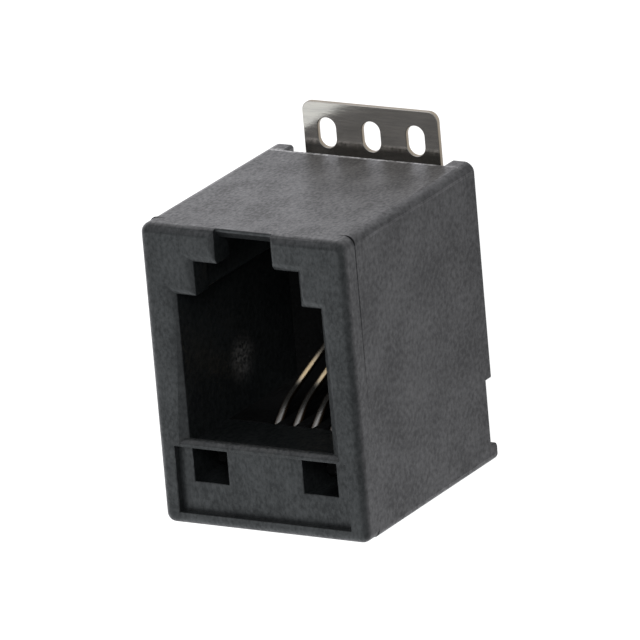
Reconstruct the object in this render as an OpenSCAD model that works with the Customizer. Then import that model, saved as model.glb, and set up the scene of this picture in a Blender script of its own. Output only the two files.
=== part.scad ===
// Top-entry modular jack for surface mounting, four contacts wide.
// The board lies in the plane z = 0 and the plug opening faces +Z.
// +Y is the latch side, -Y is the contact side, and the origin lies on the
// board under the middle of the housing. All sizes are in millimetres.

/* [Plug cavity] */
// Width of the plug cavity
plug_w = 7.9; // [6.8:0.05:9.5]
// Height of the cavity, from its floor to the lower ledges
plug_h = 7.48; // [6.5:0.02:9]
// Depth of the cavity, from the front face to the comb wall
plug_depth = 10.4; // [9.6:0.05:13]
// Width between the upper ledges, where the latch shoulders pass
shoulder_w = 5.76; // [4.4:0.02:6.6]
// Step from the lower ledges up to the upper ledges
shoulder_h = 1.72; // [1.2:0.02:2.4]
// Width of the key slot that the latch lever passes through
key_w = 3.12; // [2.4:0.02:4]
// Rise of the latch channel above the upper ledges
latch_rise = 1.2; // [0.8:0.05:2]
// Depth at which the latch channel opens out behind the front wall
front_wall = 1.5; // [1.1:0.05:2.2]
// How much wider than the upper ledges the latch channel is, each side
latch_relief = 0.17; // [0.05:0.01:0.4]
// Wall left between the end of the latch channel and the comb wall
latch_end = 1; // [0.6:0.05:1.6]
// Depth of the lead-in round the opening
lead_in = 0.3; // [0.1:0.01:0.4]
// Spread of the lead-in on the front face
lead_spread = 0.46; // [0.2:0.01:0.6]
// Set-back of the roof edge over the key slot
key_setback = 0.38; // [0.2:0.02:0.6]
// Thin front land of that roof edge
roof_land = 0.15; // [0.1:0.01:0.3]

/* [Housing] */
// Thickness of each side wall beside the cavity
side_wall = 1.65; // [1.3:0.05:2.4]
// Thickness of the roof over the latch channel
roof_t = 0.55; // [0.45:0.05:1.2]
// Height of the cavity floor above the contact-side face
floor_y = 4.11; // [3.6:0.01:5]
// Thickness of the contact-side wall under the contact carrier
contact_wall = 0.95; // [0.6:0.05:1.2]
// Thickness of the closed back, from the comb wall to the rear face
back_t = 2.25; // [1.9:0.05:3.5]
// Gap between the rear face of the housing and the board
stand_off = 0.31; // [0.02:0.01:0.4]
// Radius of the two latch-side long edges behind the parting line
edge_r = 0.52; // [0.3:0.02:0.9]
// Radius of the two contact-side long edges behind the parting line
contact_edge_r = 0.38; // [0.3:0.02:0.7]
// Radius of the four long edges on the front band
band_edge_r = 0.48; // [0.46:0.02:0.7]
// Radius of the rolled rim round the front face
rim_r = 0.44; // [0.2:0.02:0.44]
// Depth of the front band, from the front face to the parting line
band_depth = 1.15; // [0.8:0.05:1.5]
// Radius of the rounded sill at the front of the cavity floor
sill_r = 0.3; // [0.15:0.05:0.4]
// Rise of the sill above the cavity floor
sill_rise = 0.25; // [0.1:0.05:0.35]

/* [Front recess and windows] */
// Depth of the shallow recess below the opening
recess_depth = 0.41; // [0.2:0.01:0.7]
// Land between the recess and each side face
recess_side = 0.89; // [0.7:0.01:1.2]
// Land between the recess and the contact-side face
recess_land = 0.62; // [0.46:0.02:0.9]
// Land between the recess and the level of the cavity floor
recess_top = 0.15; // [0.05:0.01:0.3]
// Width of each square window
window_w = 1.88; // [1.2:0.02:2.1]
// Height of each square window
window_h = 1.66; // [1:0.02:1.9]
// Wall between a window and the cavity floor
window_roof = 0.32; // [0.3:0.01:0.7]

/* [Rear face] */
// Depth of the relief that clears the contact tails
relief_depth = 0.53; // [0.4:0.01:0.8]
// Height of the relief above the contact-side face
relief_y = 4.19; // [3.6:0.01:4.6]
// Width of each foot beside the relief
foot_w = 1.5; // [0.9:0.05:2.2]
// Height of each foot along the rear face
foot_y = 0.95; // [0.5:0.05:1.2]
// Radius of the rounded corner of each foot
foot_r = 0.3; // [0.1:0.05:0.4]

/* [Contacts] */
// Distance from contact to contact
contact_pitch = 1.02; // [0.9:0.01:1.2]
// Width of a contact strip
contact_w = 0.36; // [0.25:0.01:0.45]
// Thickness of a contact strip
contact_t = 0.28; // [0.2:0.01:0.35]
// Reach of the solder tails beyond the contact-side face
tail_out = 1.5; // [0.8:0.05:2.5]
// Middle radius of the bend from the tail into the carrier
tail_bend_r = 0.45; // [0.3:0.05:0.6]
// Depth of the middle of the carrier nose below the front face
nose_depth = 4.79; // [4.2:0.01:5.4]
// Drop from the cavity floor to the middle of the carrier nose
nose_drop = 0.9; // [0.8:0.02:1.1]
// Middle radius of the strip round the carrier nose
nose_r = 0.75; // [0.6:0.01:0.85]
// Slope at which the strip leaves the nose
rise_angle = 41; // [34:1:48]
// Length of the straight between the nose and the knee
rise_length = 1; // [0.7:0.05:1.3]
// Middle radius of the knee
knee_r = 3; // [1.5:0.1:4]
// Slope of the contact spring
spring_angle = 20; // [16:1:24]
// How far the spring tip reaches into the comb
tip_in = 0.6; // [0.3:0.05:0.8]

/* [Contact carrier] */
// Clearance of the carrier and the contacts in their seats
fit = 0.04; // [0.02:0.01:0.08]
// Depth of the comb grooves in the back wall
comb_depth = 0.9; // [0.85:0.05:1.2]
// Side clearance of a contact in its comb groove
comb_gap = 0.1; // [0.05:0.01:0.15]
// Room above the spring tips in the comb grooves
comb_room = 0.3; // [0.1:0.05:1]
// How far the flange of the carrier stands out past the cavity walls
flange_lip = 0.45; // [0.2:0.05:0.7]
// Distance from the comb wall back to the flange
flange_step = 0.5; // [0.3:0.05:0.8]
// Length of the two locating pegs in the window tunnels
peg_length = 1.3; // [0.6:0.05:1.8]
// Chamfer at the end of each peg
peg_chamfer = 0.25; // [0.1:0.05:0.4]

/* [Solder nail] */
// Width of the nail plate
nail_w = 7.5; // [6.6:0.05:8.6]
// Thickness of the nail
nail_t = 0.25; // [0.2:0.01:0.35]
// Reach of the plate beyond the latch-side face
nail_out = 2.3; // [2:0.05:3.5]
// Radius of the two outer corners
nail_corner_r = 0.5; // [0.2:0.05:0.8]
// Width of each solder slot
slot_w = 1; // [0.6:0.05:1.3]
// Length of each solder slot
slot_l = 1.52; // [1.4:0.02:1.8]
// Distance from slot to slot
slot_pitch = 2.45; // [2:0.05:2.75]
// Distance from the slot centres to the outer edge of the plate
slot_inset = 1.53; // [1.1:0.01:1.6]
// Clear width beside the plate in the notch of the housing
notch_gap = 0.62; // [0.3:0.02:0.8]
// Depth of the notch in the rear edge of the latch-side wall
notch_depth = 0.86; // [0.5:0.02:1.1]
// Length of the notch along the rear face
notch_l = 1.55; // [1.3:0.05:1.9]
// Radius of the rounded outer corners of the notch
notch_r = 0.18; // [0.1:0.02:0.4]
// Width of each press-in tang
tang_w = 1.4; // [0.8:0.05:2]
// Distance from the middle of the part to each tang
tang_x = 2.2; // [1.6:0.05:2.6]
// Height of each tang above the notch
tang_h = 1.5; // [1:0.05:1.6]
// Middle radius of the bend at the foot of a tang
tang_bend_r = 0.3; // [0.2:0.05:0.4]

/* [Hidden] */
$fn = 48;
contact_count = 4;
arc_steps = 12;
over = 1;
moulded_black = "#3a3c40";
insert_black = "#2c2d30";
tin_plate = "#b8b3a2";
spring_metal = "#c2a25a";

body_w = plug_w + 2 * side_wall;
ledge_y = floor_y + plug_h;
shoulder_y = ledge_y + shoulder_h;
channel_y = shoulder_y + latch_rise;
body_l = channel_y + roof_t;
body_h = plug_depth + back_t;
front_z = stand_off + body_h;
relief_z = stand_off + relief_depth;
latch_w = shoulder_w + 2 * latch_relief;

nose_y = floor_y - nose_drop;
run_y = nose_y - nose_r;
knee_depth = nose_depth - nose_r * sin(rise_angle) + rise_length * cos(rise_angle)
    + knee_r * (sin(rise_angle) - sin(spring_angle));
knee_y = nose_y + nose_r * cos(rise_angle) + rise_length * sin(rise_angle)
    + knee_r * (cos(spring_angle) - cos(rise_angle));
spring_l = (plug_depth + tip_in - knee_depth) / cos(spring_angle);
tip_y = knee_y + spring_l * sin(spring_angle) + contact_t / 2;
pocket_depth = nose_depth - nose_r - contact_t / 2 - fit;
slit_w = contact_w + 2 * fit;
core_r = nose_r - contact_t / 2 - fit;
comb_w = contact_w + 2 * comb_gap;
flange_depth = plug_depth + flange_step;
window_x = (plug_w - window_w) / 2;
window_y = floor_y - window_roof - window_h;

notch_w = nail_w + 2 * notch_gap;
tang_y = body_l - notch_l + nail_t / 2 + fit;
nail_root = body_l - tang_y - tang_bend_r;

// Y of a height measured up from the contact-side face
function y_at(height) = height - body_l / 2;
// Z of a depth measured in from the front face
function z_at(depth) = front_z - depth;
// X of one contact, counted from 1
function contact_x(i) = (i - (contact_count + 1) / 2) * contact_pitch;

// A bent strip is walked as a list of moves: [length] goes straight on, and
// [radius, turn] follows an arc, turning left for a positive turn.
// A stop on the walk is [y, z, heading].
function dir(a) = [cos(a), sin(a)];
function ahead(p, d) = [p[0] + d * cos(p[2]), p[1] + d * sin(p[2]), p[2]];
function turned(p, r, turn) =
    let (side = sign(turn), a = p[2] + turn, n = p[2] + 90 * side)
    let (c = [p[0], p[1]] + r * dir(n), q = c - r * dir(a + 90 * side))
    [q[0], q[1], a];
function stops(p, move) = len(move) == 1
    ? [ahead(p, move[0])]
    : [for (k = [1 : arc_steps]) turned(p, move[0], move[1] * k / arc_steps)];
function walk(p, moves, i = 0) = i == len(moves)
    ? [p]
    : let (s = stops(p, moves[i]), last = len(s) - 1)
        concat([p], [for (k = [0 : 1 : last - 1]) s[k]], walk(s[last], moves, i + 1));
function beside(p, d) = [p[0], p[1]] + d * dir(p[2] + 90);

// Box between two corners, given as one range for each axis
module block(x, y, z) {
    translate([x[0], y[0], z[0]])
        cube([x[1] - x[0], y[1] - y[0], z[1] - z[0]]);
}

// Box centred on x = 0
module mid_block(w, y, z) {
    block([-w / 2, w / 2], y, z);
}

// Carries a drawing in the Y-Z plane along X, centred on x
module across(x, w) {
    translate([x - w / 2, 0, 0])
        rotate([90, 0, 90])
            linear_extrude(w) children();
}

// Rectangle whose lower and upper corners are rounded to two radii
module rounded_rect(w, l, low_r, high_r) {
    translate([-w / 2, low_r - l / 2]) square([w, l - low_r - high_r]);
    translate([low_r - w / 2, -l / 2]) square([w - 2 * low_r, l / 2]);
    translate([high_r - w / 2, 0]) square([w - 2 * high_r, l / 2]);
    for (x = [-1, 1]) {
        translate([x * (w / 2 - low_r), low_r - l / 2]) circle(low_r);
        translate([x * (w / 2 - high_r), l / 2 - high_r]) circle(high_r);
    }
}

// Standing rectangle with its two upper corners rounded
module arched_rect(w, h, r) {
    translate([-w / 2, 0]) square([w, h - r]);
    translate([r - w / 2, 0]) square([w - 2 * r, h]);
    for (x = [-1, 1])
        translate([x * (w / 2 - r), h - r]) circle(r);
}

// Strip of even thickness along a walk in the Y-Z plane
module strip(x, w, t, start, moves) {
    p = walk(start, moves);
    n = len(p);
    across(x, w)
        polygon([
            for (i = [0 : n - 1]) beside(p[i], t / 2),
            for (i = [n - 1 : -1 : 0]) beside(p[i], -t / 2)
        ]);
}

// Lead-in that opens a slot towards the front face: it spreads both ways in
// width, and by rise at the upper edge of the slot
module lead_in_flare(w, y, depth, spread, rise) {
    z = [z_at(depth), front_z + depth];
    half = w / 2;
    intersection() {
        translate([0, y[1] + rise, 0])
            rotate([90, 0, 0])
                linear_extrude(y[1] + rise - y[0])
                    polygon([
                        [-half, z[0]], [half, z[0]],
                        [half + 2 * spread, z[1]], [-half - 2 * spread, z[1]]
                    ]);
        across(0, w + 4 * spread)
            polygon([[y[0], z[0]], [y[1], z[0]], [y[1] + 2 * rise, z[1]], [y[0], z[1]]]);
    }
}

// Outer form of the moulding: long box behind the parting line, then the front band
module outer_form() {
    translate([0, 0, stand_off])
        linear_extrude(body_h - band_depth)
            rounded_rect(body_w, body_l, contact_edge_r, edge_r);
    translate([0, 0, z_at(band_depth)]) front_band();
}

// Front band of the moulding, with its rim rolled round all four sides
module front_band() {
    straight_w = body_w - 2 * band_edge_r;
    straight_l = body_l - 2 * band_edge_r;
    across(0, straight_w) arched_rect(body_l, band_depth, rim_r);
    translate([0, straight_l / 2, 0])
        rotate([90, 0, 0])
            linear_extrude(straight_l) arched_rect(body_w, band_depth, rim_r);
    for (x = [-1, 1], y = [-1, 1])
        translate([x * straight_w / 2, y * straight_l / 2, 0]) rim_post();
}

// Corner of the front band: a round post with the rim rolled over its top
module rim_post() {
    rotate_extrude() {
        square([band_edge_r, band_depth - rim_r]);
        square([band_edge_r - rim_r, band_depth]);
        intersection() {
            translate([band_edge_r - rim_r, band_depth - rim_r]) circle(rim_r);
            square([band_edge_r, band_depth]);
        }
    }
}

// Stepped plug opening with its latch channel and key slot
module plug_opening() {
    main = [y_at(floor_y), y_at(ledge_y)];
    step = [y_at(ledge_y) - over, y_at(shoulder_y)];
    mid_block(plug_w, main, [z_at(plug_depth), front_z + over]);
    lead_in_flare(plug_w, main, lead_in, lead_spread, lead_spread);
    mid_block(shoulder_w, step, [z_at(front_wall) - over, front_z + over]);
    lead_in_flare(shoulder_w, step, lead_in, lead_spread, lead_spread);
    mid_block(latch_w, [y_at(ledge_y) - over, y_at(channel_y)],
        [z_at(plug_depth - latch_end), z_at(front_wall)]);
    key_slot();
}

// Key slot: cut through the roof at the front, then a sloping ceiling
module key_slot() {
    low = y_at(shoulder_y) - over;
    land = roof_t - roof_land;
    across(0, key_w)
        polygon([
            [low, front_z + over], [y_at(body_l) + over, front_z + over],
            [y_at(body_l) + over, z_at(key_setback)],
            [y_at(body_l - roof_land), z_at(key_setback)],
            [y_at(channel_y), z_at(key_setback + land)],
            [y_at(channel_y), z_at(front_wall) - over],
            [low, z_at(front_wall) - over]
        ]);
    lead_in_flare(key_w, [low, y_at(body_l) + over], lead_in / 2, lead_spread / 2, 0);
}

// Seat of the carrier: a bore from the rear with a shoulder for its flange
module carrier_seat() {
    mid_block(plug_w, [y_at(contact_wall), y_at(ledge_y)],
        [stand_off - over, z_at(pocket_depth)]);
    mid_block(plug_w + 2 * flange_lip, [y_at(relief_y), y_at(ledge_y + flange_lip)],
        [stand_off - over, z_at(flange_depth)]);
}

// Shallow recess under the opening, with the two window tunnels
module front_recess() {
    mid_block(body_w - 2 * recess_side, [y_at(recess_land), y_at(floor_y - recess_top)],
        [z_at(recess_depth), front_z + over]);
    for (side = [-1, 1])
        translate([side * window_x, 0, 0])
            mid_block(window_w, [y_at(window_y), y_at(window_y + window_h)],
                [z_at(pocket_depth) - over, front_z + over]);
}

// Relief across the rear face, with a rounded foot left at each side
module rear_relief() {
    mid_block(body_w - 2 * foot_w, [y_at(-over), y_at(relief_y)], [stand_off - over, relief_z]);
    across(0, body_w + 2 * over)
        difference() {
            translate([y_at(-over), stand_off - over])
                square([relief_y + over, relief_depth + over]);
            translate([y_at(-2 * over), stand_off]) {
                square([foot_y - foot_r + 2 * over, body_h]);
                translate([0, foot_r]) square([foot_y + 2 * over, body_h]);
                translate([foot_y - foot_r + 2 * over, foot_r]) circle(foot_r);
            }
        }
}

// Notch in the latch-side wall for the nail plate, and slots for its tangs
module nail_notch() {
    translate([0, 0, stand_off - over])
        linear_extrude(notch_depth + over) {
            translate([-notch_w / 2, y_at(body_l - notch_l)])
                square([notch_w, notch_l + over]);
            difference() {
                translate([-notch_w / 2 - notch_r, y_at(body_l) - notch_r])
                    square([notch_w + 2 * notch_r, notch_r + over]);
                for (side = [-1, 1])
                    translate([side * (notch_w / 2 + notch_r), y_at(body_l) - notch_r])
                        circle(notch_r);
            }
        }
    slot_y = y_at(tang_y);
    slot_half = nail_t / 2 + fit;
    for (side = [-1, 1])
        translate([side * tang_x, 0, 0])
            mid_block(tang_w + 2 * fit, [slot_y - slot_half, slot_y + slot_half],
                [stand_off, stand_off + notch_depth + tang_h + fit]);
}

// Moulded housing
module housing() {
    sill_w = plug_w + 2 * lead_spread;
    color(moulded_black)
        difference() {
            union() {
                difference() {
                    outer_form();
                    plug_opening();
                }
                across(0, sill_w)
                    translate([y_at(floor_y + sill_rise - sill_r), z_at(sill_r)]) circle(sill_r);
            }
            carrier_seat();
            front_recess();
            rear_relief();
            nail_notch();
        }
}

// Outline of the carrier base in the Y-Z plane
module carrier_base() {
    translate([y_at(contact_wall), relief_z])
        square([floor_y - contact_wall, z_at(pocket_depth) - fit - relief_z]);
}

// Tongue inside the base that the contact strips wrap round
module carrier_core() {
    tongue_z = z_at(nose_depth);
    translate([y_at(nose_y), tongue_z]) circle(core_r);
    translate([y_at(nose_y) - core_r, relief_z - over])
        square([2 * core_r, tongue_z - relief_z + over]);
}

// Moulded contact carrier: grooved base, comb wall and locating pegs
module contact_carrier() {
    wall_w = plug_w - 2 * fit;
    comb_z = z_at(plug_depth + comb_depth);
    color(insert_black)
        difference() {
            union() {
                across(0, wall_w) carrier_base();
                mid_block(wall_w, [y_at(contact_wall), y_at(ledge_y) - fit],
                    [relief_z, z_at(plug_depth)]);
                mid_block(wall_w, [y_at(relief_y), y_at(ledge_y) - fit],
                    [stand_off, z_at(plug_depth)]);
                mid_block(wall_w + 2 * flange_lip, [y_at(relief_y), y_at(ledge_y + flange_lip) - fit],
                    [stand_off, z_at(flange_depth)]);
                for (side = [-1, 1])
                    translate([side * window_x, 0, 0]) locating_peg();
            }
            for (i = [1 : contact_count]) {
                across(contact_x(i), slit_w)
                    difference() {
                        slit_outline();
                        carrier_core();
                    }
                translate([contact_x(i), 0, 0])
                    mid_block(comb_w, [y_at(floor_y) - fit, y_at(tip_y) + comb_room],
                        [comb_z, z_at(plug_depth) + over]);
            }
        }
}

// Room for one strip below the core, round its nose and above it
module slit_outline() {
    low = y_at(contact_wall) - over;
    split = y_at(nose_y);
    translate([low, relief_z - over])
        square([split - low, z_at(pocket_depth) + 2 * over - relief_z]);
    translate([split, z_at(plug_depth)])
        square([y_at(floor_y) + over - split, plug_depth - pocket_depth + over]);
}

// Peg with a chamfered end that locates the carrier in a window tunnel
module locating_peg() {
    w = window_w - 2 * fit;
    y0 = y_at(window_y) + fit;
    y1 = y_at(window_y + window_h) - fit;
    root = z_at(pocket_depth) - over;
    end = z_at(pocket_depth) + peg_length;
    c = peg_chamfer;
    intersection() {
        mid_block(w, [y0, y1], [root, end]);
        across(0, w)
            polygon([[y0, root], [y1, root], [y1, end - c], [y1 - c, end], [y0 + c, end], [y0, end - c]]);
    }
}

// Contact strip: solder tail, run under the core, nose, knee and spring
module contact(i) {
    knee_turn = rise_angle - spring_angle;
    run_start = contact_t / 2 + tail_bend_r;
    nose_turn = 180 - rise_angle;
    color(spring_metal)
        strip(contact_x(i), contact_w, contact_t, [y_at(-tail_out), contact_t / 2, 0], [
            [tail_out + run_y - tail_bend_r],
            [tail_bend_r, 90],
            [z_at(nose_depth) - run_start],
            [nose_r, -nose_turn],
            [rise_length],
            [knee_r, -knee_turn],
            [spring_l]
        ]);
}

// Nail plate with three solder slots and two tangs bent up into the housing
module solder_nail() {
    outer = y_at(body_l + nail_out);
    inner = y_at(body_l - nail_root);
    color(tin_plate)
        union() {
            linear_extrude(nail_t)
                difference() {
                    nail_outline(inner, outer);
                    for (k = [-1 : 1])
                        translate([k * slot_pitch, outer - slot_inset]) solder_slot();
                }
            for (side = [-1, 1])
                strip(side * tang_x, tang_w, nail_t, [inner + nail_t, nail_t / 2, 180], [
                    [nail_t],
                    [tang_bend_r, -90],
                    [stand_off + notch_depth + tang_h - nail_t / 2 - tang_bend_r]
                ]);
        }
}

// Plate outline with its two outer corners rounded
module nail_outline(inner, outer) {
    r = nail_corner_r;
    translate([-nail_w / 2, inner]) square([nail_w, outer - inner - r]);
    translate([r - nail_w / 2, inner]) square([nail_w - 2 * r, outer - inner]);
    for (side = [-1, 1])
        translate([side * (nail_w / 2 - r), outer - r]) circle(r);
}

// Oblong hole with round ends
module solder_slot() {
    straight = slot_l - slot_w;
    square([slot_w, straight], center = true);
    for (end = [-1, 1])
        translate([0, end * straight / 2]) circle(slot_w / 2);
}

housing();
contact_carrier();
solder_nail();
contact(1);  // contact_1
contact(2);  // contact_2
contact(3);  // contact_3
contact(4);  // contact_4
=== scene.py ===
# %% [markdown]
# # A modular jack, dressed in Blender
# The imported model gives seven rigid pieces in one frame: the board lies in the plane
# z = 0, the plug opening faces +Z and the latch side faces +Y. Everything below is
# built round that frame, and nothing in it is moved or resized. Sizes are written in
# millimetres and multiplied by MM where they meet Blender, which works in metres.

from math import cos, degrees, radians, sin, tau

import bmesh
import bpy
import numpy as np
from mathutils import Matrix, Vector


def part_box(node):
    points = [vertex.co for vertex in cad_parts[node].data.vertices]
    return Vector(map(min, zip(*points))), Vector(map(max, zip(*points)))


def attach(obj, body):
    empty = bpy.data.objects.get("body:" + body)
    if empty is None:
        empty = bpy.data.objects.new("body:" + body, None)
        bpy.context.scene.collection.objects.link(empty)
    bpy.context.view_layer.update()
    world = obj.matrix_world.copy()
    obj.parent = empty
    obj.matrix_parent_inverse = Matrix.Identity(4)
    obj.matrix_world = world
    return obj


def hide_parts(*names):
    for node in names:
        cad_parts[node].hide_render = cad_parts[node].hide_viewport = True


MM = 0.001
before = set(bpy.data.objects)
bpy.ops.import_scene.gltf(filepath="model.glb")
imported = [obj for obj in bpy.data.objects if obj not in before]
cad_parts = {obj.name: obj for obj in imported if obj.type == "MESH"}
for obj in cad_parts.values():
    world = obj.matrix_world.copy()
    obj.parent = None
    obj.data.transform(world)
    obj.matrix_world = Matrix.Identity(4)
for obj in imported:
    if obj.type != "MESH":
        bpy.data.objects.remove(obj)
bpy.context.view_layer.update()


def box_mm(node):
    """Lowest and highest corner of a CAD node, in millimetres."""
    return [np.array(corner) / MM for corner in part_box(node)]


HOUSING_LOW, HOUSING_HIGH = box_mm("housing")
LATCH_Y, FRONT_Z = HOUSING_HIGH[1:]
print("nodes:", sorted(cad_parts))
print("housing from", HOUSING_LOW.round(2), "to", HOUSING_HIGH.round(2), "mm")

# %% [markdown]
# ## Camera
# The photograph was taken with a long lens from in front of the opening, a little to
# the right and above the latch side. A camera can be placed by eye, but a view that is
# solved from the straight edges of the housing leaves nothing to guess: two angles, a
# roll, a distance and the point that the middle of the picture looks at.

# %% Camera at the photograph's viewing angle
VIEW_TURN, VIEW_LIFT, VIEW_ROLL = radians(31.584), radians(18.432), radians(-5.049)
VIEW_DISTANCE = 566.1
AIM_BELOW_LATCH_SIDE, AIM_BELOW_FRONT = 7.40, 6.30
VIEW_CENTRE = Vector((0, LATCH_Y - AIM_BELOW_LATCH_SIDE, FRONT_Z - AIM_BELOW_FRONT))
VIEW_SHIFT_RIGHT, VIEW_SHIFT_UP = 0.0563, 0.9555
FOCAL_PIXELS, PICTURE_PIXELS, SENSOR_MM = 11863.6, 640, 36
NEAREST, FARTHEST = 10, 10000


def aim_camera():
    """The camera looks back along a direction given by turn and lift; roll tips right and up."""
    level_out = cos(VIEW_LIFT)
    back = Vector((sin(VIEW_TURN) * level_out, sin(VIEW_LIFT), cos(VIEW_TURN) * level_out))
    level = Vector((cos(VIEW_TURN), 0, -sin(VIEW_TURN)))
    upright = back.cross(level)
    right = cos(VIEW_ROLL) * level + sin(VIEW_ROLL) * upright
    up = cos(VIEW_ROLL) * upright - sin(VIEW_ROLL) * level
    place = VIEW_CENTRE + right * VIEW_SHIFT_RIGHT + up * VIEW_SHIFT_UP + back * VIEW_DISTANCE
    lens = bpy.data.cameras.new("jack_camera")
    lens.sensor_width = SENSOR_MM
    lens.lens = FOCAL_PIXELS / PICTURE_PIXELS * SENSOR_MM
    lens.clip_start, lens.clip_end = NEAREST * MM, FARTHEST * MM
    camera = bpy.data.objects.new("jack_camera", lens)
    turned = Matrix((right, up, back)).transposed().to_4x4()
    camera.matrix_world = Matrix.Translation(place * MM) @ turned
    bpy.context.scene.collection.objects.link(camera)
    bpy.context.scene.camera = camera
    return camera


camera = aim_camera()
print("camera at", [round(c / MM, 1) for c in camera.location], "mm,",
      "lens", round(camera.data.lens), "mm")

# %% [markdown]
# ## A mottle that all the finishes share
# No skin on this part is even: the moulded faces keep the fine cloud of the mould's
# steel, drawn out along the way the plastic flowed, and plated strip keeps lines from
# the rolling mill. Both are the same thing to a shader, a noise whose cells are longer
# one way than the others, so it is one node group with the cell's three sizes as its
# input, placed in each material with its own numbers.

# %% Helpers for shader nodes
MIX_FACTOR, MIX_BASE, MIX_OVER, MIX_RESULT = 0, 6, 7, 2  # the colour sockets of a Mix node


def add_node(tree, kind, links=None, **settings):
    """Adds a shader node; links maps a socket to a value or to another node's output."""
    made = tree.nodes.new("ShaderNode" + kind)
    for name, value in settings.items():
        setattr(made, name, value)
    for socket, value in (links or {}).items():
        if isinstance(value, bpy.types.NodeSocket):
            tree.links.new(value, made.inputs[socket])
        else:
            made.inputs[socket].default_value = value
    return made


def spread(tree, value, low, high, to_low, to_high, way="SMOOTHSTEP"):
    """Maps low..high to to_low..to_high, with soft ends or in a straight LINEAR way."""
    links = {"Value": value, "From Min": low, "From Max": high, "To Min": to_low, "To Max": to_high}
    return add_node(tree, "MapRange", links, interpolation_type=way).outputs["Result"]


def ramp(tree, value, *stops):
    """Turns a value into a colour; each stop is a position and a colour."""
    made = add_node(tree, "ValToRGB", {"Fac": value})
    elements = made.color_ramp.elements
    while len(elements) < len(stops):
        elements.new(1.0)
    for element, (position, colour) in zip(elements, stops):
        element.position = position
        element.color = (*colour, 1)
    return made.outputs["Color"]


def blend_colours(tree, mask, base, over):
    """Lays one colour over another where the mask is 1; either may be an output or a colour."""
    base, over = (colour if isinstance(colour, bpy.types.NodeSocket) else (*colour, 1)
                  for colour in (base, over))
    links = {MIX_FACTOR: mask, MIX_BASE: base, MIX_OVER: over}
    return add_node(tree, "Mix", links, data_type="RGBA").outputs[MIX_RESULT]


def both(tree, rule, first, second):
    """Two values joined by a rule such as MULTIPLY or MAXIMUM."""
    return add_node(tree, "Math", {0: first, 1: second}, operation=rule).outputs[0]


def plus_share(tree, value, share, other):
    """A value plus a share of another one."""
    links = {0: other, 1: share, 2: value}
    return add_node(tree, "Math", links, operation="MULTIPLY_ADD").outputs[0]


helpers = (add_node, spread, ramp, blend_colours, both, plus_share)
print("node helpers:", ", ".join(helper.__name__ for helper in helpers))

# %% The mottle group
FINE_NOISE = {"Scale": 1, "Detail": 4, "Roughness": 0.62}
SLOW_NOISE = {"Scale": 0.11, "Detail": 2}
SPECK_NOISE = {"Scale": 4.5, "Detail": 1}
FINE_RANGE, SLOW_RANGE, SPECK_RANGE = (0.22, 0.82), (0.25, 0.75), (0.70, 0.80)
MOTTLE_ENDS = (-0.2, 1.3)


def make_mottle():
    """Noise in cells of the given three sizes: a fine mottle about 0.5, and a slow cloud and
    sparse specks from 0 to 1. The mottle keeps the bell shape of the noise: soft ends would
    sort it into two tones."""
    group = bpy.data.node_groups.new("surface_mottle", "ShaderNodeTree")
    for label in ("Place", "Cell"):
        group.interface.new_socket(label, in_out="INPUT", socket_type="NodeSocketVector")
    for label in ("Mottle", "Cloud", "Speck"):
        group.interface.new_socket(label, in_out="OUTPUT", socket_type="NodeSocketFloat")
    given = group.nodes.new("NodeGroupInput").outputs
    result = group.nodes.new("NodeGroupOutput").inputs
    in_mm = add_node(group, "VectorMath", {0: given["Place"], "Scale": 1 / MM},
                     operation="SCALE").outputs[0]
    in_cells = add_node(group, "VectorMath", {0: in_mm, 1: given["Cell"]},
                        operation="DIVIDE").outputs[0]
    layers = (("Mottle", in_cells, FINE_NOISE, FINE_RANGE, MOTTLE_ENDS, "LINEAR"),
              ("Cloud", in_cells, SLOW_NOISE, SLOW_RANGE, (0, 1), "SMOOTHSTEP"),
              ("Speck", in_mm, SPECK_NOISE, SPECK_RANGE, (0, 1), "SMOOTHSTEP"))
    for label, place, noise, limits, ends, way in layers:
        fac = add_node(group, "TexNoise", {"Vector": place, **noise}).outputs["Fac"]
        group.links.new(spread(group, fac, *limits, *ends, way), result[label])
    return group


MOTTLE = make_mottle()
print("group", MOTTLE.name, "with", len(MOTTLE.nodes), "nodes")

# %% [markdown]
# ## Floor and light
# Black plastic shows little colour of its own: what the eye reads on it is the room,
# mirrored in a satin skin. The photograph is a product shot on a lit white table, so
# the faces that mirror the table are pale and the rounded edges, which mirror the dim
# room, are dark lines. One strong lamp would give hot spots instead. Here the floor
# glows, the room is half as bright, a white card stands where the front face and the
# lead-in look for light, a dimmer one hangs high on the left for the rim and the nail,
# and a lamp beside the camera reaches into the opening. A polarising filter would take
# the lamp's mirror image out of the black skin, and hiding the lamp from glossy rays
# does the same.

# %% Glowing floor and a dim room
FLOOR_HALF, FLOOR_GREY, FLOOR_ROUGHNESS = 2000, (0.2, 0.2, 0.2), 0.9
GLOW_SPAN, GLOW_MIDDLE = 48, 0.5
GLOW_STOPS = ((0.0, 0.65), (0.35, 0.55), (0.50, 0.49), (0.62, 0.99), (0.78, 0.94))
FLOOR_TINT, ROOM_TINT, WHITE = (1.0, 0.985, 1.03), (0.97, 1.0, 1.03), (1.0, 1.0, 1.0)
ROOM_GLOW = 0.45


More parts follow.
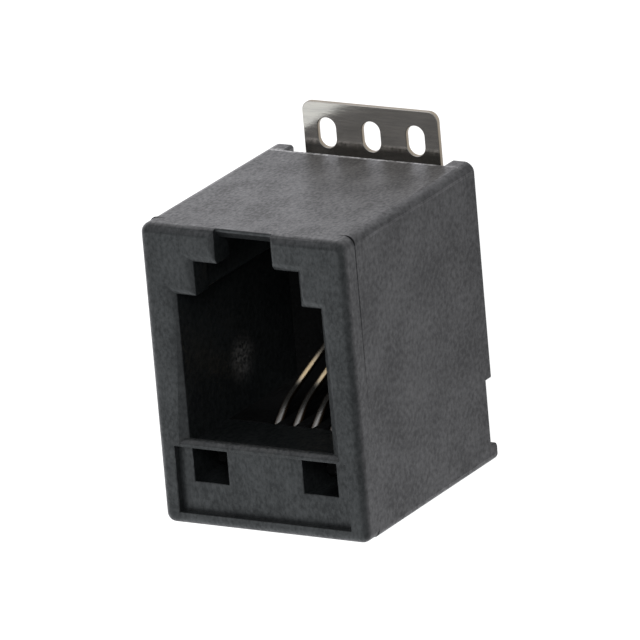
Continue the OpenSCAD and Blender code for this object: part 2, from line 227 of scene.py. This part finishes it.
def lay_floor():
    """A wide square in the board plane that shows plain white. Its glow, as the part mirrors
    it, follows GLOW_STOPS along y - x over GLOW_SPAN mm: dimmest beside the jack, and
    strongest at its left latch corner."""
    h = FLOOR_HALF * MM
    mesh = bpy.data.meshes.new("floor")
    mesh.from_pydata([(-h, -h, 0), (h, -h, 0), (h, h, 0), (-h, h, 0)], [], [(0, 1, 2, 3)])
    floor = bpy.data.objects.new("floor", mesh)
    bpy.context.scene.collection.objects.link(floor)
    paper = bpy.data.materials.new("pale_floor")
    paper.use_nodes = True
    tree = paper.node_tree
    place = add_node(tree, "TexCoord").outputs["Object"]
    per_metre = 1 / (GLOW_SPAN * MM)
    slope = add_node(tree, "VectorMath", {0: place, 1: (-per_metre, per_metre, 0)},
                     operation="DOT_PRODUCT").outputs["Value"]
    share = both(tree, "ADD", slope, GLOW_MIDDLE)
    stops = [(stop, tuple(level * c for c in FLOOR_TINT)) for stop, level in GLOW_STOPS]
    glow = ramp(tree, share, *stops)
    seen = add_node(tree, "LightPath").outputs["Is Camera Ray"]
    shader = tree.nodes["Principled BSDF"].inputs
    shader["Base Color"].default_value = (*FLOOR_GREY, 1)
    shader["Roughness"].default_value = FLOOR_ROUGHNESS
    shader["Specular IOR Level"].default_value = 0.0
    shader["Emission Strength"].default_value = 1.0
    tree.links.new(blend_colours(tree, seen, glow, WHITE), shader["Emission Color"])
    mesh.materials.append(paper)
    return floor


def light_room():
    """A dim grey room that shows as plain white where the camera sees past the floor."""
    room = bpy.data.worlds.new("studio")
    bpy.context.scene.world = room
    room.use_nodes = True
    tree = room.node_tree
    dim = tree.nodes["Background"]
    dim.inputs["Color"].default_value = (*ROOM_TINT, 1)
    dim.inputs["Strength"].default_value = ROOM_GLOW
    plain = add_node(tree, "Background", {"Color": (*WHITE, 1)})
    seen = add_node(tree, "LightPath").outputs["Is Camera Ray"]
    mix = add_node(tree, "MixShader", {0: seen, 1: dim.outputs[0], 2: plain.outputs[0]})
    tree.links.new(mix.outputs[0], tree.nodes["World Output"].inputs["Surface"])


lay_floor()
light_room()
bpy.context.scene.view_settings.view_transform = "Standard"
print("floor", 2 * FLOOR_HALF, "mm wide in a room of", ROOM_GLOW)

# %% White cards and lamp
CARD_MIDDLE, CARD_FACES = (-190, -90, 260), (0, 1, 0)
LAMP_WAY = Vector((0.36, 0.48, 0.80)).normalized()
HIGH_WAY = Vector((-0.46, 0.68, 0.57)).normalized()
LIGHT_DISTANCE = 450


def soft_box(name, middle, towards, size, watts, tint):
    """A rectangular area light with its middle at a place in mm, turned to face a direction."""
    lamp = bpy.data.lights.new(name, "AREA")
    lamp.shape = "RECTANGLE"
    lamp.size, lamp.size_y = (side * MM for side in size)
    lamp.energy = watts
    lamp.color = tint
    light = bpy.data.objects.new(name, lamp)
    light.location = Vector(middle) * MM
    light.rotation_euler = Vector(towards).to_track_quat("-Z", "Y").to_euler()
    light.visible_camera = False
    bpy.context.scene.collection.objects.link(light)
    return light


card = soft_box("white_card", CARD_MIDDLE, CARD_FACES,
                size=(500, 520), watts=0.58, tint=(0.94, 1.0, 1.03))
lamp = soft_box("opening_lamp", VIEW_CENTRE + LAMP_WAY * LIGHT_DISTANCE, -LAMP_WAY,
                size=(180, 180), watts=1.6, tint=(1.0, 0.98, 0.95))
lamp.visible_glossy = False
high_card = soft_box("high_card", VIEW_CENTRE + HIGH_WAY * LIGHT_DISTANCE, -HIGH_WAY,
                     size=(460, 460), watts=0.34, tint=(1.0, 0.98, 1.04))
lights = (card, lamp, high_card)
print("lights:", [(light.name, round(light.data.energy, 2), "W") for light in lights])

# %% [markdown]
# ## Finishes
# The housing is glass-filled black plastic from a spark-eroded mould: nearly no colour,
# a satin shine that changes a little from cell to cell, and a trace of blue-green. One
# Principled shader does this with a dark ramp for the colour, the mottle in Roughness
# and Bump, and a thin uneven coat that stands for the resin-rich skin. Painting the
# light and dark of the faces into the colour would only be right from one side.

# %% Moulded black
BUMP_STRENGTH, GRAIN_DEPTH = 0.5, 0.008
CLOUD_SHARE = 0.5
SPECK_TONE, SPECK_SHARE = (0.05, 0.052, 0.054), 0.2
TONE_RANGE, SKIN_RANGE, SKIN_ROUGHNESS = (0.3, 1.0), (0.35, 1.62), 0.34


def start_material(name, cell):
    """A new material: itself, its tree, its Principled inputs and the mottle at a cell size."""
    made = bpy.data.materials.new(name)
    made.use_nodes = True
    tree = made.node_tree
    place = add_node(tree, "TexCoord").outputs["Object"]
    mottle = add_node(tree, "Group", {"Place": place, "Cell": cell}, node_tree=MOTTLE)
    return made, tree, tree.nodes["Principled BSDF"].inputs, mottle.outputs


def bump(tree, height, depth_mm):
    """Normal of a skin that rises by depth_mm where the height is 1."""
    links = {"Height": height, "Strength": BUMP_STRENGTH, "Distance": depth_mm * MM}
    return add_node(tree, "Bump", links).outputs["Normal"]


def moulded_black(name, cell, dark, pale, shine, skin, gloss):
    """Black plastic. With the mottle, its tone goes from dark to pale, its roughness over the
    shine and its coat over the skin; gloss is its specular level. Specks are a little paler."""
    made, tree, shader, mottle = start_material(name, cell)
    mixed = plus_share(tree, mottle["Mottle"], CLOUD_SHARE, mottle["Cloud"])
    tone = ramp(tree, mixed, *zip(TONE_RANGE, (dark, pale)))
    specks = spread(tree, mottle["Speck"], 0, 1, 0, SPECK_SHARE)
    tree.links.new(blend_colours(tree, specks, tone, SPECK_TONE), shader["Base Color"])
    satin = spread(tree, mottle["Mottle"], *MOTTLE_ENDS, *shine, "LINEAR")
    tree.links.new(satin, shader["Roughness"])
    tree.links.new(spread(tree, mixed, *SKIN_RANGE, *skin, "LINEAR"), shader["Coat Weight"])
    shader["Coat Roughness"].default_value = SKIN_ROUGHNESS
    shader["Specular IOR Level"].default_value = gloss
    tree.links.new(bump(tree, mottle["Mottle"], GRAIN_DEPTH), shader["Normal"])
    return made


DULL = {"shine": (0.72, 0.57), "skin": (0.0, 0.08), "gloss": 0.15}
housing_black = moulded_black(
    "moulded_housing_black", cell=(0.16, 0.27, 0.24), dark=(0.0040, 0.0048, 0.0052),
    pale=(0.0080, 0.0092, 0.0098), shine=(0.457, 0.368), skin=(0.0, 0.82), gloss=0.42)
# The carrier's black is about half the housing's tone: painted shade deep in the cavity, where the
# carrier sits.
carrier_shade_black = moulded_black(
    "moulded_carrier_with_cavity_shade", cell=(0.20, 0.20, 0.20), dark=(0.0020, 0.0021, 0.0022),
    pale=(0.0040, 0.0042, 0.0044), **DULL)
print("plastics:", housing_black.name, carrier_shade_black.name)

# %% [markdown]
# ### Painted light in the cavity and on the notch
# A pale grey painted into the base colour stands for light in three places: a painted
# pool of light on the left wall of the cavity, a painted highlight along the sill in
# front of the cavity floor, and a painted highlight on the edge of the nail's notch,
# whose scraped rim catches the light. Each is a soft mask about one place, broken up by
# a fine noise, so that the painted light fades out in specks and not along a line. On
# the sill and the notch the mask is drawn out along X by measuring distances that way
# as if they were shorter.

# %% Painted light on the left wall, the sill and the notch's edge
LIT_SPOT_DEPTH, LIT_SPOT_BELOW_LATCH_SIDE, LIT_SPOT_FROM_MIDDLE = 5.6, 8.45, -3.95
SILL_DEPTH, SILL_BELOW_LATCH_SIDE = 0.24, 10.86
NOTCH_EDGE, NOTCH_SHINE_FROM_MIDDLE = 1.17, -1.0
LIGHT_SPECKLES_PER_MM, LIGHT_SPECKLE_DETAIL, LIGHT_SPECKLE_RANGE = 6, 2, (0.30, 0.72)


def lay_painted_light(material, centre, draw, core, reach, grey):
    """Lays a pale grey of painted light over a material's base colour, fully within core mm of
    a place and not at all beyond reach, times a fine noise; distances along X count draw times."""
    tree = material.node_tree
    tone = tree.nodes["Principled BSDF"].inputs["Base Color"]
    place = add_node(tree, "TexCoord").outputs["Object"]
    drawn = add_node(tree, "VectorMath", {0: place, 1: (draw, 1, 1)},
                     operation="MULTIPLY").outputs[0]
    spot = tuple(centre * np.array((draw, 1, 1)) * MM)
    apart = add_node(tree, "VectorMath", {0: drawn, 1: spot}, operation="DISTANCE")
    near = spread(tree, apart.outputs["Value"], core * MM, reach * MM, 1, 0)
    noise = {"Vector": place, "Scale": LIGHT_SPECKLES_PER_MM / MM, "Detail": LIGHT_SPECKLE_DETAIL}
    light_speckle = add_node(tree, "TexNoise", noise).outputs["Fac"]
    painted_light_mask = both(tree, "MULTIPLY", near, spread(tree, light_speckle, *LIGHT_SPECKLE_RANGE, 0, 1))
    plain_tone = tone.links[0].from_socket
    tree.links.new(blend_colours(tree, painted_light_mask, plain_tone, (grey, grey, grey)), tone)


# A painted pool of light on the left wall of the cavity.
lit_spot = np.array((LIT_SPOT_FROM_MIDDLE, LATCH_Y - LIT_SPOT_BELOW_LATCH_SIDE, FRONT_Z - LIT_SPOT_DEPTH))
# The sill gets a painted highlight: a pale band along its edge that fades towards the jambs.
sill = np.array((0, LATCH_Y - SILL_BELOW_LATCH_SIDE, FRONT_Z - SILL_DEPTH))
# The notch edge gets a painted highlight: the light that its scraped rim catches, laid as a pale
# line.
notch = np.array((NOTCH_SHINE_FROM_MIDDLE, LATCH_Y, NOTCH_EDGE))
lay_painted_light(housing_black, lit_spot, draw=1.0, core=0.1, reach=1.5, grey=0.06)
lay_painted_light(housing_black, sill, draw=0.05, core=0.02, reach=0.46, grey=0.034)
lay_painted_light(housing_black, notch, draw=0.03, core=0.10, reach=0.26, grey=0.42)
for painted_place, middle in (("left wall", lit_spot), ("sill", sill), ("notch", notch)):
    print("wear on the", painted_place, "at", middle.round(2), "mm")

# %% [markdown]
# ### Tinned sheet
# The solder nail is tinned strip: bright, faintly creamy, with hair lines from the
# rolling mill along its length and yellower metal on the sheared edges. The lines are
# the mottle again, in cells drawn out along X. The cut edges are read from an
# attribute on the mesh, which stays with the surface wherever it goes.

# %% Tin
TIN_CELL = (1.2, 0.10, 0.10)
TIN_TONES = (0.2, (0.475, 0.45, 0.415)), (0.9, (0.575, 0.54, 0.49))
TIN_ROUGHNESS, TIN_METALLIC = (0.105, 0.155), 0.96
SHEARED_TONE, SHEARED_ROUGHER = (0.27, 0.235, 0.18), 0.22
ROLLED_SHARE, ROLLED_DEPTH = 0.2, 0.002


def link_metal(tree, shader, tone, roughness, height):
    """Links a metal's colour and roughness outputs, and a bump of ROLLED_DEPTH mm."""
    tree.links.new(tone, shader["Base Color"])
    tree.links.new(roughness, shader["Roughness"])
    tree.links.new(bump(tree, height, ROLLED_DEPTH), shader["Normal"])


def tinned_sheet():
    """Tin plate with rolling lines along X; the mask named sheared marks the duller, yellower
    cut edges."""
    made, tree, shader, mottle = start_material("tinned_sheet", TIN_CELL)
    edge = add_node(tree, "Attribute", attribute_name="sheared").outputs["Fac"]
    rolled = plus_share(tree, mottle["Mottle"], ROLLED_SHARE, mottle["Cloud"])
    tone = blend_colours(tree, edge, ramp(tree, rolled, *TIN_TONES), SHEARED_TONE)
    face = spread(tree, mottle["Mottle"], 0, 1, *TIN_ROUGHNESS)
    roughness = plus_share(tree, face, SHEARED_ROUGHER, edge)
    link_metal(tree, shader, tone, roughness, mottle["Mottle"])
    shader["Metallic"].default_value = TIN_METALLIC
    return made


tin = tinned_sheet()
print("metal:", tin.name)

# %% [markdown]
# ## Mouldings and sheet with real edges
# A CAD solid ends in perfectly sharp edges, and a moulding never does: the mould's own
# corners leave each one a few hundredths round, and that is the thin line of light
# that makes an edge readable. The solids arrive as loose triangles, so a copy is
# welded by rounding its corners to a fine grid, flat neighbours are joined again, and
# a narrow Bevel finishes it. Modelling the rounds one by one would add nothing.

# %% Weld a copy of a solid
WELD = 1e-7


def mesh_values(data, label, kind, width=1):
    """A property of all items of a mesh collection as one array, with a row for each item."""
    values = np.empty(len(data) * width, kind)
    data.foreach_get(label, values)
    return values.reshape(-1, width) if width > 1 else values


def welded(node):
    """Places in mm and triangles of a node, its corners merged on a grid of WELD metres."""
    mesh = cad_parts[node].data
    corners = mesh_values(mesh.vertices, "co", np.float32, 3).astype(float)
    used = mesh_values(mesh.loops, "vertex_index", np.int32)
    first, merged = np.unique(np.round(corners / WELD).astype(np.int64), axis=0,
                              return_index=True, return_inverse=True)[1:]
    triangles = merged.reshape(-1)[used].reshape(-1, 3)
    whole = (triangles != np.roll(triangles, 1, axis=1)).all(axis=1)
    return corners[first] / MM, triangles[whole]


print("housing welded to", len(welded("housing")[0]), "corners")

# %% Choose the edges to round
FLAT_ANGLE, EDGE_ANGLE, LEAD_IN_ANGLE = radians(0.5), radians(32), radians(40)
SEAM_DEPTH = 1.15
SEAM_ROOM, LEVEL_ROOM = 0.05, 0.001


def mark(mesh, label, domain, values, kind="FLOAT"):
    """Stores one value for each point, edge or face of a mesh under a label."""
    values = values.astype(np.float32) if kind == "FLOAT" else values
    mesh.attributes.new(label, kind, domain).data.foreach_set("value", values)


def weigh_edges(mesh, shortest):
    """Bevel weight 1 on outer edges longer than shortest mm whose two faces turn by EDGE_ANGLE
    or more. The way into the first face, its normal times the edge, leans away from the second
    face at an outer edge. The edges of the lead-in stay soft, and the hair step at the seam
    stays crisp. Each edge of a closed mesh belongs to two faces, so sorting the loops by edge
    lists the faces in pairs."""
    normals = mesh_values(mesh.polygons, "normal", np.float32, 3)
    places = mesh_values(mesh.vertices, "co", np.float32, 3) / MM
    ends = mesh_values(mesh.edges, "vertices", np.int32, 2)
    loops_of_face = mesh_values(mesh.polygons, "loop_total", np.int32)
    face_of_loop = np.repeat(np.arange(len(normals)), loops_of_face)
    edge_of_loop = mesh_values(mesh.loops, "edge_index", np.int32)
    pairs = np.argsort(edge_of_loop, kind="stable").reshape(-1, 2)
    first, second = normals[face_of_loop[pairs]].transpose(1, 0, 2)
    starts = mesh_values(mesh.loops, "vertex_index", np.int32)[pairs[:, 0]]
    forward = np.where(starts == ends[:, 0], 1, -1)[:, None]
    runs = (places[ends[:, 1]] - places[ends[:, 0]]) * forward
    outer = (np.cross(first, runs) * second).sum(axis=1) < 0
    turn = (first * second).sum(axis=1)
    heights = places[ends][..., 2]
    in_front = (np.abs(heights - FRONT_Z) < LEVEL_ROOM).all(axis=1)
    on_seam = (np.abs(heights - (FRONT_Z - SEAM_DEPTH)) < SEAM_ROOM).all(axis=1)
    sharp = (turn < cos(EDGE_ANGLE)) & ~(in_front & (turn > cos(LEAD_IN_ANGLE)))
    rounded = sharp & outer & ~on_seam & (np.linalg.norm(runs, axis=1) > shortest)
    mark(mesh, "bevel_weight_edge", "EDGE", rounded)
    mark(mesh, "sharp_edge", "EDGE", sharp & ~rounded, "BOOLEAN")
    return int(rounded.sum())


print("edges are rounded from a turn of", round(degrees(EDGE_ANGLE)), "degrees")

# %% Round the mouldings and the sheet
HOUSING_EDGE, CARRIER_EDGE, NAIL_EDGE = 0.05, 0.03, 0.04
HOUSING_SHORTEST = 0.1
EDGE_STEPS = 3


def new_piece(name, places, faces, material, slot, node=None):
    """A smooth mesh at the origin, from places in mm, that rides on the jack and may stand for
    a node."""
    mesh = bpy.data.meshes.new(name)
    mesh.from_pydata((places * MM).tolist(), [], faces)
    mesh.materials.append(material)
    mesh.shade_smooth()
    piece = bpy.data.objects.new(name, mesh)
    bpy.context.scene.collection.objects.link(piece)
    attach(piece, "root")
    if node:
        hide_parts(node)
    return piece


def edged_copy(name, node, material, slot, edge_mm, shortest=0.0):
    """A welded copy of the node with flat faces joined and its sharp edges rounded by edge_mm.
    Weld closes the points where rounds meet, and Weighted Normal keeps the flat faces flat."""
    places, triangles = welded(node)
    piece = new_piece(name, places, triangles.tolist(), material, slot, node)
    work = bmesh.new()
    work.from_mesh(piece.data)
    bmesh.ops.dissolve_limit(work, angle_limit=FLAT_ANGLE, verts=work.verts, edges=work.edges)
    work.to_mesh(piece.data)
    work.free()
    rounded = weigh_edges(piece.data, shortest)
    rounding = piece.modifiers.new("edge_round", "BEVEL")
    rounding.width, rounding.segments = edge_mm * MM, EDGE_STEPS
    rounding.limit_method = "WEIGHT"
    rounding.use_clamp_overlap = False
    piece.modifiers.new("meeting_points", "WELD").merge_threshold = WELD
    piece.modifiers.new("flat_faces_first", "WEIGHTED_NORMAL").keep_sharp = True
    print(name, "from", len(triangles), "triangles,", rounded, "edges rounded by", edge_mm, "mm")
    return piece


edged_copy("housing_moulding", "housing", housing_black, "housing_plastic",
           HOUSING_EDGE, HOUSING_SHORTEST)
edged_copy("carrier_moulding", "contact_carrier", carrier_shade_black, "carrier_plastic", CARRIER_EDGE)
nail = edged_copy("nail_sheet", "solder_nail", tin, "tin_plate", NAIL_EDGE)

# %% [markdown]
# ### Cut edges of the nail
# A press cuts the nail from sheet that is already tinned, so the cut shows the metal
# under the tin. The plate lies flat on the board, and a cut face of it stands on edge:
# its normal has hardly any height. That is enough to tell the two apart, and the mask
# is one number for each face.

# %% Mark the sheared edges of the nail
SHEARED_BELOW = 0.5


def mark_sheared(piece):
    """Face mask: 1 where a face of the flat plate stands on edge, so where the press cut it."""
    upward = mesh_values(piece.data.polygons, "normal", np.float32, 3)[:, 2]
    edge = np.abs(upward) < SHEARED_BELOW
    mark(piece.data, "sheared", "FACE", edge)
    return int(edge.sum())


print("sheared faces on the nail:", mark_sheared(nail))

# %% [markdown]
# ## Contact springs
# Each contact is one strip of spring metal, stamped flat and then bent: a solder tail
# on the board, a run through the carrier, a tight turn round its nose and a long
# spring that dips into the comb. A bent strip is fully told by how its heading turns
# along its length, so the path is a running sum, and a flat section with softly
# rounded corners is carried along it. The distance along the strip is kept on every
# vertex for the plating.

# %% Path of a contact
STRIP_LOW, STRIP_HIGH = box_mm("contact_1")
STRIP_WIDTH, STRIP_THICKNESS = STRIP_HIGH[0] - STRIP_LOW[0], 0.28
TAIL_BEND, NOSE_BEND, KNEE_BEND = 0.45, 0.75, 3.0
RUN_HEIGHT, NOSE_DEPTH, TIP_DEPTH = 2.46, 4.79, 11.0
RISE_ANGLE, SPRING_ANGLE, RISE_LENGTH = radians(41), radians(20), 1.0
QUARTER = radians(90)


def bent_path(start, heading, moves):
    """Stops of a path in a plane. A move is a length, a turn and a count of steps; heading is
    the running sum of the turns, and a step of length d that turns by a goes
    d * sin(a/2) / (a/2) on its middle heading."""
    lengths, turns, steps = (np.array(column) for column in zip(*moves))
    run = np.repeat(lengths / steps, steps)
    turn = np.repeat(turns / steps, steps)
    headings = heading + np.concatenate(([0], np.cumsum(turn)))
    middle = headings[:-1] + turn / 2
    chords = run * np.sinc(turn / tau) * np.stack((np.cos(middle), np.sin(middle)))
    places = np.array(start) + np.concatenate((np.zeros((1, 2)), np.cumsum(chords.T, axis=0)))
    return places, headings, np.concatenate(([0], np.cumsum(run)))


def contact_moves(tail_y):
    """Moves from the tail's end to the spring's tip: tail, bend up from the board, run through
    the carrier, nose, rise, knee and spring, whose length reaches TIP_DEPTH below the front."""
    run_y = HOUSING_LOW[1] + RUN_HEIGHT
    knee_turn = RISE_ANGLE - SPRING_ANGLE
    nose_turn = 2 * QUARTER - RISE_ANGLE
    spring_top = (NOSE_DEPTH - NOSE_BEND * sin(RISE_ANGLE) + RISE_LENGTH * cos(RISE_ANGLE)
                  + KNEE_BEND * (sin(RISE_ANGLE) - sin(SPRING_ANGLE)))
    return [
        (run_y - TAIL_BEND - tail_y, 0, 4),
        (TAIL_BEND * QUARTER, QUARTER, 10),
        (FRONT_Z - NOSE_DEPTH - STRIP_THICKNESS / 2 - TAIL_BEND, 0, 6),
        (NOSE_BEND * nose_turn, -nose_turn, 28),
        (RISE_LENGTH, 0, 3),
        (KNEE_BEND * knee_turn, -knee_turn, 12),
        ((TIP_DEPTH - spring_top) / cos(SPRING_ANGLE), 0, 8),
    ]


strip_start = (STRIP_LOW[1], STRIP_THICKNESS / 2)
strip_path, strip_headings, strip_along = bent_path(strip_start, 0, contact_moves(STRIP_LOW[1]))
print("strip of", round(strip_along[-1], 2), "mm in", len(strip_along), "stops,",
      "tip at", strip_path[-1].round(2))

# %% Sweep a section along a path
EDGE_SOFTNESS, SECTION_POINTS = 2.6, 32


def superellipse(width, height, power, count):
    """Section points: half-sizes times the cosine and sine of an angle, each raised to
    2 / power with its sign."""
    angle = np.arange(count) * tau / count
    waves = np.stack((np.cos(angle), np.sin(angle)), axis=1)
    return np.array((width, height)) / 2 * np.sign(waves) * np.abs(waves) ** (2 / power)


def swept(centres, across, outward, section):
    """Row i of the grid is centre i plus each section point (u, v): u times across plus v times
    outward. Neighbouring rows are joined by quads, and each end gets a cap. Faces point out of
    the sweep where across times outward, as a cross product, points along the path."""
    sideways = section[..., :1] * across[:, None]
    grid = centres[:, None] + sideways + section[..., 1:] * outward[:, None]
    rows, ring = grid.shape[:2]
    index = np.arange(rows * ring).reshape(rows, ring)
    here, after = index[:-1], index[1:]
    corners = (here, np.roll(here, -1, axis=1), np.roll(after, -1, axis=1), after)
    quads = np.stack(corners, axis=-1).reshape(-1, 4).tolist()
    return grid.reshape(-1, 3), quads + [index[0, ::-1].tolist(), index[-1].tolist()]


strip_section = superellipse(STRIP_WIDTH, STRIP_THICKNESS, EDGE_SOFTNESS, SECTION_POINTS)
print("section", strip_section.max(axis=0) * 2, "mm in", SECTION_POINTS, "points")

# %% [markdown]
# ### Nickel and gold
# The contacts are nickel, with gold only where the plug touches. The photograph shows
# satin metal at the nose, darker bright metal at the knee and a gold that starts softly
# and fades again; here the gold gives way to nickel towards the tip, which darkens it.
# How far along the strip each begins is read from the distance that the mesh carries,
# and two more attributes tell the crown of the strip from its flanks and its left side
# from its right. On the spring the plating shows only on the crown's right side, and the
# flanks and the left side get a dark bronze: painted shade, with the cut flanks' bare
# metal in it too. All of it follows the bends without an image map.

# %% Nickel that turns to gold
STRIP_CELL = (0.03, 0.7, 0.7)
NICKEL_TONES = (0.2, (0.56, 0.55, 0.53)), (0.8, (0.70, 0.685, 0.66))
GOLD_TONES = (0.2, (0.84, 0.64, 0.38)), (0.8, (0.97, 0.82, 0.57))
# The dark bronze is painted shade on the spring's flanks and left side, and the bare metal of its
# cut flanks.
SHADED_BRONZE = (0.10, 0.062, 0.035)
LIT_CROWN, LIT_RIGHT_SIDE = (0.55, 0.95), (-1.1, 0.35)
GOLD_DEPTH, GOLD_RISE, GOLD_FADES, GOLD_LEFT = 6.15, (0, 1.1), (1.7, 3.2), 0.2
SPRING_ENDS, SATIN_ENDS, SATIN_LEFT = (-3.34, -2.34), (-2.1, -0.75), 0.17
STRIP_ROUGHNESS = (0.14, 0.44)
GOLD_SCATTER, SATIN_SCATTER = 0.92, 0.16


def plated_strip(gold_from):
    """Nickel, satin at the nose and bright at the knee, that turns to matt gold from gold_from
    mm along the strip; towards the tip the gold gives way to nickel again, which darkens it.
    On the spring the plating shows only on the crown's right side, and the flanks and the
    left side get a dark bronze that is painted shade and also the bare metal of the cut
    flanks; tail and run are plated all round."""
    made, tree, shader, mottle = start_material("plated_strip", STRIP_CELL)
    along, crown, across = (add_node(tree, "Attribute", attribute_name=label).outputs["Fac"]
                            for label in ("along", "crown", "across"))

    def past_gold(stretch, before, after):
        """A value that changes over a stretch of the strip, in mm from where the gold starts."""
        return spread(tree, along, gold_from + stretch[0], gold_from + stretch[1], before, after)

    nickel = ramp(tree, mottle["Mottle"], *NICKEL_TONES)
    yellow = ramp(tree, mottle["Mottle"], *GOLD_TONES)
    # Towards the tip the gold gives way to nickel again, which makes the tip darker and greyer.
    dipped = both(tree, "MULTIPLY", past_gold(GOLD_RISE, 0, 1), past_gold(GOLD_FADES, 1, GOLD_LEFT))
    satin = past_gold(SATIN_ENDS, 1, SATIN_LEFT)
    behind = past_gold(SPRING_ENDS, 1, 0)
    # The plating shows where this mask is 1, on the crown's right side; elsewhere on the spring the
    # bronze paints shade.
    face = both(tree, "MULTIPLY", spread(tree, crown, *LIT_CROWN, 0, 1),
                spread(tree, across, *LIT_RIGHT_SIDE, 0, 1))
    gold = both(tree, "MULTIPLY", dipped, face)
    plated = blend_colours(tree, dipped, nickel, yellow)
    tone = blend_colours(tree, both(tree, "MAXIMUM", face, behind), SHADED_BRONZE, plated)
    roughness = spread(tree, both(tree, "MAXIMUM", satin, gold), 0, 1, *STRIP_ROUGHNESS)
    link_metal(tree, shader, tone, roughness, mottle["Mottle"])
    bright = spread(tree, gold, 0, 1, 1.0, 1 - GOLD_SCATTER)
    tree.links.new(plus_share(tree, bright, -SATIN_SCATTER, satin), shader["Metallic"])
    return made


past_nose = np.arange(len(strip_path)) > np.argmax(strip_path[:, 1])
spring_depth = FRONT_Z - strip_path[past_nose, 1]
gold_from = float(np.interp(GOLD_DEPTH, spring_depth, strip_along[past_nose]))
gold_strip = plated_strip(gold_from)
print("metal:", gold_strip.name, "with gold from", round(gold_from, 2), "mm along")

# %% Four plated contacts
CREASE = radians(40)


def plated_contact(number):
    """The section swept along the strip's path, at the middle of that contact's CAD node."""
    node = f"contact_{number}"
    low, high = box_mm(node)
    middle = (low[0] + high[0]) / 2
    count = len(strip_path)
    centres = np.column_stack((np.full(count, middle), strip_path))
    across = np.tile((-1.0, 0.0, 0.0), (count, 1))
    outward = np.column_stack((np.zeros(count), -np.sin(strip_headings), np.cos(strip_headings)))
    places, faces = swept(centres, across, outward, strip_section)
    piece = new_piece(f"plated_contact_{number}", places, faces, gold_strip,
                      "contact_plating", node)
    mark(piece.data, "along", "POINT", np.repeat(strip_along, SECTION_POINTS))
    mark(piece.data, "crown", "POINT", np.tile(strip_section[:, 1] * 2 / STRIP_THICKNESS, count))
    mark(piece.data, "across", "POINT", (places[:, 0] - middle) * 2 / STRIP_WIDTH)
    piece.data.set_sharp_from_angle(angle=CREASE)
    return piece


print("contacts:", [plated_contact(number).name for number in range(1, 5)])

# %% [markdown]
# ## Parting line
# The two halves of the mould meet a little way behind the front face, and the plastic
# creeps into that seam as a hair of flash, dull where the skin is shiny. On the real part
# it is thickest round the latch-side corners, comes and goes down the long sides and is
# gone before the contact side. It is a small arch swept up each long side and round the
# corner, whose height and width follow the distance along the way. Its black is darker
# than the housing's, and round the corner it swells: that is painted shade, the dark
# curl of the step where the halves meet.

# %% Flash on the parting line
SEAM_CORNER, SEAM_LAP = 0.50, 0.5
SEAM_WIDTH, SEAM_HEIGHT, SEAM_LEAST, SEAM_HAIR = 0.045, 0.016, 0.0005, 0.05
SEAM_START, SEAM_FULL = 4.0, 13.0
SEAM_WAVE, SEAM_WAVE_SHARE = 2.3, 0.35
CORNER_HEIGHT, CORNER_WIDENS = 0.05, 1.8
UNIT_ARCH, ELLIPSE, SEAM_POINTS = 2.0, 2.0, 10
# A darker black than the housing's: painted shade of the step at the seam, on a real hair of flash.
flash_and_shade_black = moulded_black(
    "seam_flash_and_shade_black", cell=(0.10, 0.10, 0.10), dark=(0.0030, 0.0032, 0.0034),
    pale=(0.0060, 0.0064, 0.0068), **DULL)


def smooth_step(low, high, value):
    """0 at low, 1 at high, and 3 t t - 2 t t t of the share t between them."""
    t = np.clip((value - low) / (high - low), 0, 1)
    return t * t * (3 - 2 * t)


def seam_flash(side):
    """Arch section swept up one long side, round the latch corner and a little way over the
    latch side. Its height and width rise from a hair at SEAM_START to all at SEAM_FULL mm
    along, and die out over the lap. On the way the height comes and goes as a sine, and round
    the corner both swell as half a sine."""
    half = LATCH_Y - SEAM_CORNER
    arc = SEAM_CORNER * QUARTER
    moves = [(2 * half, 0, 80), (arc, side * QUARTER, 12), (SEAM_LAP, 0, 6)]
    places, headings, along = bent_path((side * HOUSING_HIGH[0], -half), QUARTER, moves)
    wave = 1 - SEAM_WAVE_SHARE * (1 + np.sin(along * tau / SEAM_WAVE)) / 2
    dying = smooth_step(0, SEAM_LAP, along[-1] - along)
    rise = smooth_step(SEAM_START, SEAM_FULL, along) * dying
    swell = np.sin(np.clip((along - 2 * half) / arc, 0, 1) * tau / 2)
    heights = SEAM_LEAST + (SEAM_HEIGHT - SEAM_LEAST) * rise * wave + CORNER_HEIGHT * swell
    widths = (SEAM_HAIR + (1 - SEAM_HAIR) * rise) * (1 + CORNER_WIDENS * swell)
    rows = len(places)
    centres = np.column_stack((places, np.full(rows, FRONT_Z - SEAM_DEPTH)))
    along_z = np.array((0.0, 0.0, side)) * widths[:, None]
    outward = side * np.column_stack((np.sin(headings), -np.cos(headings), np.zeros(rows)))
    section = superellipse(SEAM_WIDTH, UNIT_ARCH, ELLIPSE, SEAM_POINTS)
    return swept(centres, along_z, outward * heights[:, None], section)


for side, word in ((1, "right"), (-1, "left")):
    seam = new_piece(f"parting_line_{word}", *seam_flash(side), flash_and_shade_black, "housing_plastic")
    print(seam.name, "with", len(seam.data.polygons), "faces")
